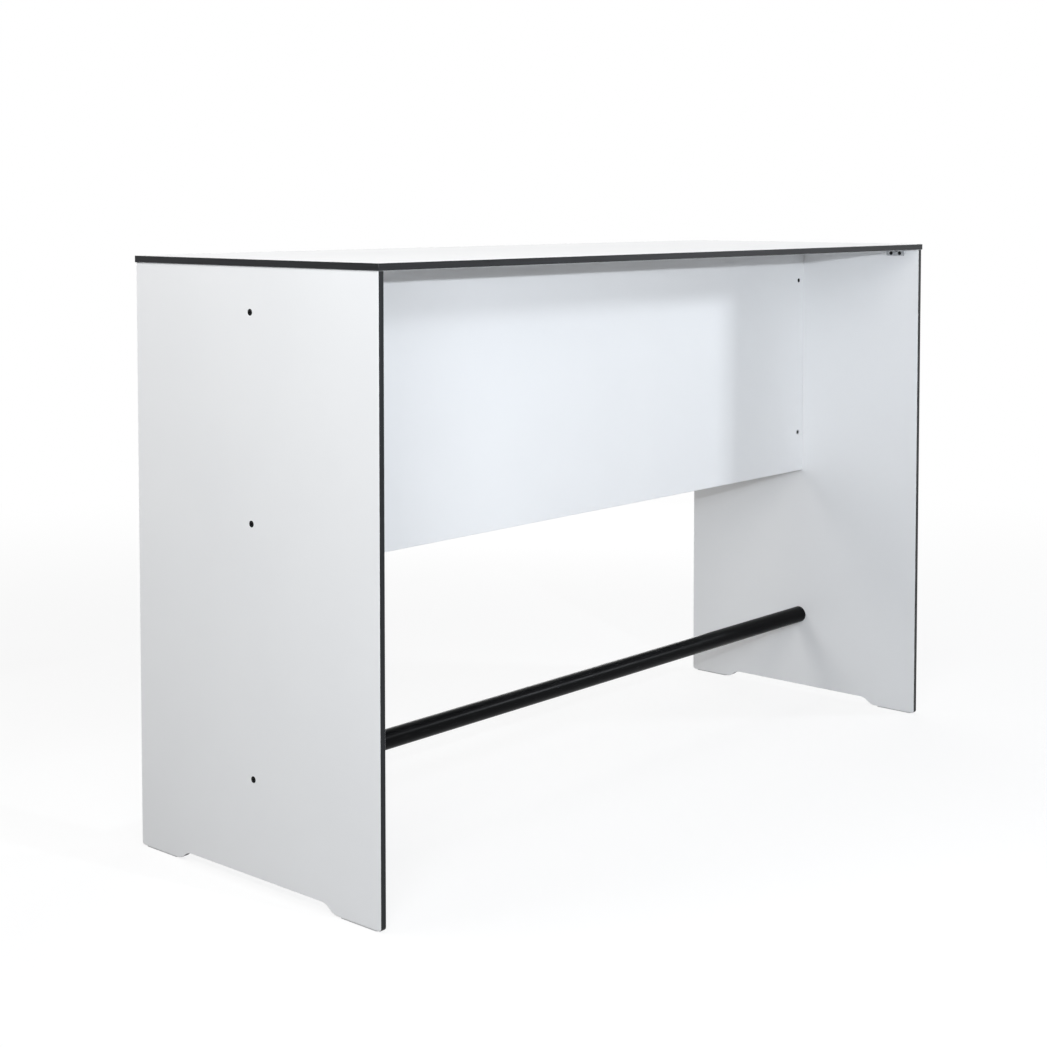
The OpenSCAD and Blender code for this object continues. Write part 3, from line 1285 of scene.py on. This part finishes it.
@dataclass(frozen=True)
class Brackets:
    """The bent angle brackets under the top, and their button-head screws.

    The crown is the radii at which a screw's domed head is drawn, as shares of the head's.
    """

    hardware: Hardware
    length: float = 0.048
    leg: float = 0.015
    shelf: float = 0.030
    thickness: float = 0.0025
    bend: float = 0.001
    inner_steps: int = 4
    outer_steps: int = 6
    corner: float = 0.004
    rim: float = 0.0003
    screw_pitch: float = 0.0008
    crown: tuple[float, ...] = (0.45, 0.62, 0.76, 0.87, 0.95, 1.0)

    def places(self) -> dict[str, Matrix]:
        """Turn and shift of each bracket, by the end of its node's name."""
        size = self.hardware
        side_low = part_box("side_panel_right")[0].x
        top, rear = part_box("table_top")[0].z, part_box("modesty_panel")[1].y
        found = {}
        for side in Side:
            turn = Matrix.Rotation(math.pi if side is Side.RIGHT else 0, 4, "Z")
            for face in Face:
                corner = side.value * side_low, face.value * size.bracket_y, top
                found[f"{face.word}_{side.word}"] = Matrix.Translation(corner) @ turn
        for where, x in zip(("left", "middle", "right"), size.panel_bracket_xs):
            place = Matrix.Translation((x, rear, top))
            found[f"panel_{where}"] = place @ Matrix.Rotation(math.pi / 2, 4, "Z")
        return found

    def build(self) -> None:
        """Models one bracket and one set of screws, and copies them to their places."""
        bracket, screws = self.model_bracket(), self.model_screws()
        for where, place in self.places().items():
            strip = Axis.X if where.startswith("panel") else Axis.Y
            bracket.copy(f"bracket_{where}_steel", place).finish(
                ZincPlate(strip), Slot.ZINC, f"bracket_{where}"
            )
            screws.copy(f"bracket_screws_{where}_steel", place).finish(
                BlackOxide(), Slot.BLACK, f"bracket_screws_{where}"
            )
        bracket.delete()
        screws.delete()

    def screw_lines(self) -> list[tuple[Place, Place]]:
        """Each screw's direction, and its place on its leg's inner face."""
        size = self.hardware
        lines = []
        for step in pair(size.bracket_pitch):
            lines += [((-1, 0, 0), (0, step, -size.leg_mid)), ((0, 0, 1), (size.shelf_mid, step, 0))]
        return lines

    def model_bracket(self) -> Shape:
        """The bracket, its corner at the origin, its leg down and its shelf along +X.

        Returns:
            The bracket.
        """
        half, thickness, size = self.length / 2, self.thickness, self.hardware
        angle = Shape.box("bracket", (0, -half, -thickness), (self.shelf, half, 0))
        with angle.editing():
            angle.bisect(Axis.X, thickness)
            angle.pick(Part.FACE, lambda f: f.normal.z < -FACING and middle(f).x < thickness)
            bpy.ops.mesh.extrude_region_move(
                TRANSFORM_OT_translate={"value": (0, 0, thickness - self.leg)}
            )
            angle.flatten()
        for corner, radius, steps in (
            (Vector((thickness, 0, -thickness)), self.bend, self.inner_steps),
            (Vector(), self.bend + thickness, self.outer_steps),
        ):
            angle.round_edges(
                lambda e: runs_along(e, Axis.Y) and (middle(e) - corner).length < NEAR,
                radius, steps,
            )
        angle.round_edges(self.free_corner, self.corner, self.outer_steps)
        angle.ease(self.rim)
        hole = size.tack_d / 2 + size.gaps.hole
        return angle.cut(*[
            Shape.turned("hole", [(-2 * thickness, hole), (2 * thickness, hole)], HOLE_SIDES)
            .lay(*line)
            for line in self.screw_lines()
        ])

    def free_corner(self, edge: bmesh.types.BMEdge) -> bool:
        """Whether an edge crosses the sheet at one of the legs' free corners."""
        at, run = middle(edge), edge.verts[0].co - edge.verts[1].co
        end = abs(abs(at.y) - self.length / 2) < NEAR
        shelf = abs(at.x - self.shelf) < NEAR and abs(run.z) > self.thickness / 2
        leg = abs(at.z + self.leg) < NEAR and abs(run.x) > self.thickness / 2
        return end and (shelf or leg)

    def model_screws(self) -> Shape:
        """A bracket's four screws as separate solids of one shape.

        Returns:
            The screws.
        """
        size, seat = self.hardware, -self.thickness
        height, head, neck = size.tack_head_h, size.tack_head_d / 2, size.tack_d / 2
        dome = (head**2 + height**2) / (2 * height)
        profile = [
            (seat - height + dome - math.sqrt(dome**2 - radius**2), radius)
            for radius in (head * share for share in self.crown)
        ] + [(seat, head), (seat, neck), (seat + self.rim, neck)]
        thread = Thread(size.tack_d, self.screw_pitch)
        profile += thread.stations(seat + self.rim, seat + size.tack_l)
        screw = Shape.turned("tack", profile, HOLE_SIDES)
        screw.cut(hex_key(size.tack_key, size.tack_key_depth, seat - height))
        screws = screw.copies("tacks", [turn_to(*line) for line in self.screw_lines()])
        screw.delete()
        return screws


@dataclass(frozen=True)
class Glides:
    """The moulded strips under the feet, each with two pins in the slab's edge."""

    hardware: Hardware
    thickness: float = 0.002
    rim: float = 0.0005
    rim_steps: int = 3
    round_steps: int = 8

    def build(self) -> None:
        """Models and dresses the glides."""
        for side in Side:
            for face in Face:
                self.build_one(f"glide_{face.word}_{side.word}", face)

    def build_one(self, node: str, face: Face) -> None:
        """Models one glide in its place.

        Args:
            node: The CAD node that it stands for.
            face: The long edge of the table that it is near.
        """
        size = self.hardware
        low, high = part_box(node)
        strip = Shape.box(node + "_strip", low, (high.x, high.y, low.z + self.thickness))
        strip.round_edges(
            lambda e: runs_along(e, Axis.Z), (high.x - low.x) / 2 - NEAR, self.round_steps
        )
        strip.round_edges(
            lambda e: all(v.co.z < low.z + NEAR for v in e.verts), self.rim, self.rim_steps
        )
        radius, foot, tip = size.pin_d / 2, low.z + self.thickness / 2, high.z
        profile = [(foot, radius), (tip - self.rim, radius), (tip, radius - self.rim)]
        for step in pair(size.pin_pitch):
            pin = Shape.turned("pin", profile, PIN_SIDES)
            pin.obj.location = ((low.x + high.x) / 2, face.value * size.pin_y + step, 0)
            strip.unite(pin.settle())
        strip.finish(MouldedPlastic(), Slot.PLASTIC, node)


@dataclass(frozen=True)
class HiddenHardware:
    """CAD nodes that keep their own shape: the rail's plugs and the threaded inserts."""

    def dress(self) -> None:
        """Gives each its finish."""
        nodes = {
            "rail_plug_left": ZincPlate(Axis.X), "rail_plug_right": ZincPlate(Axis.X),
            "inserts_top": TurnedBrass(Axis.Z), "inserts_panel": TurnedBrass(Axis.Y),
            "inserts_side_left": TurnedBrass(Axis.X), "inserts_side_right": TurnedBrass(Axis.X),
        }
        for node, finish in nodes.items():
            bpy.data.objects[node].material_slots[0].material = finish.material()
            log.info("%s keeps its CAD shape", node)


# Studio


@dataclass(frozen=True)
class Lamp:
    """A soft area lamp that points at a place."""

    name: str
    place: Place
    aim: Place
    size: Pair
    watts: float
    tint: Colour = (1, 1, 1)

    def light(self) -> None:
        """Adds the lamp."""
        data = bpy.data.lights.new(self.name, "AREA")
        data.shape = "RECTANGLE"
        data.size, data.size_y = self.size
        data.energy = self.watts
        data.color = self.tint
        lamp = bpy.data.objects.new(self.name, data)
        lamp.visible_camera = False
        bpy.context.scene.collection.objects.link(lamp)
        lamp.location = self.place
        towards = Vector(self.aim) - Vector(self.place)
        lamp.rotation_euler = towards.to_track_quat("-Z", "Y").to_euler()


@dataclass(frozen=True)
class Studio:
    """A plain pale floor, plain soft lamps and the photograph's camera."""

    camera_place: Place = (-2.9550, -2.4631, 1.2003)
    pitch: float = 3.0
    yaw: float = 48.623
    lens: float = 63.744
    sensor: float = 36.0
    rise: float = -0.2156
    floor_size: float = 40.0
    floor_colour: Colour = (0.28, 0.28, 0.28)
    floor_seen: Colour = (0.95, 0.95, 0.95)
    floor_white: float = 0.8
    white_from: float = 1.2
    white_to: float = 4.0
    ambient: float = 0.15
    cool: Colour = (0.90, 0.945, 1.0)
    warm: Colour = (1.0, 0.992, 0.978)

    def build(self) -> None:
        """Sets up the scene round the table."""
        self.set_world()
        self.lay_floor()
        self.place_camera()
        for lamp in (
            Lamp("key_front_right", place=(2.594, -2.022, 1.706), aim=(0.5, 0, 0.98),
                 size=(0.35, 0.22), watts=33.5, tint=self.cool),
            Lamp("small_front", place=(-0.5, -2.3, 1.33), aim=(-0.2, 0, 0.8),
                 size=(0.03, 0.03), watts=23.5, tint=self.cool),
            Lamp("small_front_left", place=(-2.95, -1.79, 1.27), aim=(0.3, 0, 0.7),
                 size=(0.7, 0.05), watts=21.8, tint=self.cool),
            Lamp("fill_front", place=(-2.026, -2.415, 1.924), aim=(0, 0, 0.65),
                 size=(1.0, 1.0), watts=16, tint=self.cool),
            Lamp("fill_front_left", place=(-2.588, -1.494, 2.272), aim=(0, 0, 0.65),
                 size=(1.0, 1.4), watts=23.6, tint=self.warm),
            Lamp("fill_rear_left", place=(-2.188, 1.263, 2.925), aim=(0, 0, 0.65),
                 size=(2.2, 2.2), watts=50, tint=self.warm),
            Lamp("overhead_right", place=(1.3, 0.5, 3.0), aim=(0.6, 0, 1.1),
                 size=(1.2, 1.2), watts=18.5),
            Lamp("low_back_right", place=(2.6, 2.3, 0.62), aim=(-0.2, 0, 0.19),
                 size=(2.2, 0.8), watts=28),
        ):
            lamp.light()
        bpy.context.scene.view_settings.view_transform = "Standard"

    def set_world(self) -> None:
        """Makes the world an even grey light that looks white to the camera and in reflections."""
        world = bpy.data.worlds.new("studio")
        world.use_nodes = True
        bpy.context.scene.world = world
        nodes = Nodes(world.node_tree)
        background = nodes.tree.nodes["Background"]
        strength = nodes.node(
            "ShaderNodeMapRange", None,
            {"Value": nodes.seen(), "To Min": self.ambient, "To Max": 1.0},
        )
        nodes.feed(background.inputs["Strength"], strength.outputs["Result"])
        nodes.feed(background.inputs["Color"], (1, 1, 1))

    def lay_floor(self) -> None:
        """Lays the floor, mostly white where it is seen, so that only the soft shadow shows."""
        bpy.ops.object.select_all(action="DESELECT")
        bpy.ops.mesh.primitive_plane_add(size=self.floor_size)
        floor = bpy.context.active_object
        floor.name = "studio_floor"
        shader = Shader("studio_floor", Roughness=0.9, Specular_IOR_Level=0.0)
        seen = shader.seen()
        colour = shader.blend(seen, self.floor_colour, self.floor_seen)
        shader.feed(shader.bsdf.inputs["Base Color"], colour)
        white = shader.node("ShaderNodeEmission", None, {"Color": (1, 1, 1), "Strength": 1.0})
        away = shader.node("ShaderNodeVectorMath", {"operation": "LENGTH"}, {0: shader.place})
        far = Number(shader, away.outputs["Value"]).above(self.white_from, self.white_to)
        share = seen * (self.floor_white + (1 - self.floor_white) * far)
        mixed = shader.node(
            "ShaderNodeMixShader", None,
            {0: share, 1: shader.bsdf.outputs[0], 2: white.outputs[0]},
        )
        output = shader.tree.nodes["Material Output"]
        shader.feed(output.inputs["Surface"], mixed.outputs[0])
        floor.data.materials.append(shader.material)

    def place_camera(self) -> None:
        """Puts the camera where the photograph was taken from."""
        data = bpy.data.cameras.new("camera")
        data.lens, data.sensor_width, data.shift_y = self.lens, self.sensor, self.rise
        camera = bpy.data.objects.new("camera", data)
        bpy.context.scene.collection.objects.link(camera)
        camera.location = self.camera_place
        camera.rotation_euler = math.radians(90 - self.pitch), 0, -math.radians(self.yaw)
        bpy.context.scene.camera = camera


def main() -> None:
    """Builds the looks of the table round its CAD frame."""
    logging.basicConfig(level=logging.INFO, format="%(name)s: %(message)s")
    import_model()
    laminate, hardware = Laminate(), Hardware()
    TableTop(laminate, hardware).build()
    for side in Side:
        SidePanel(laminate, hardware, side).build()
    ModestyPanel(laminate, hardware).build()
    FootRail().build()
    JoiningScrews(hardware).build()
    BarrelNuts(hardware).build()
    Brackets(hardware).build()
    Glides(hardware).build()
    HiddenHardware().dress()
    Studio().build()


if __name__ == "__main__":
    main()
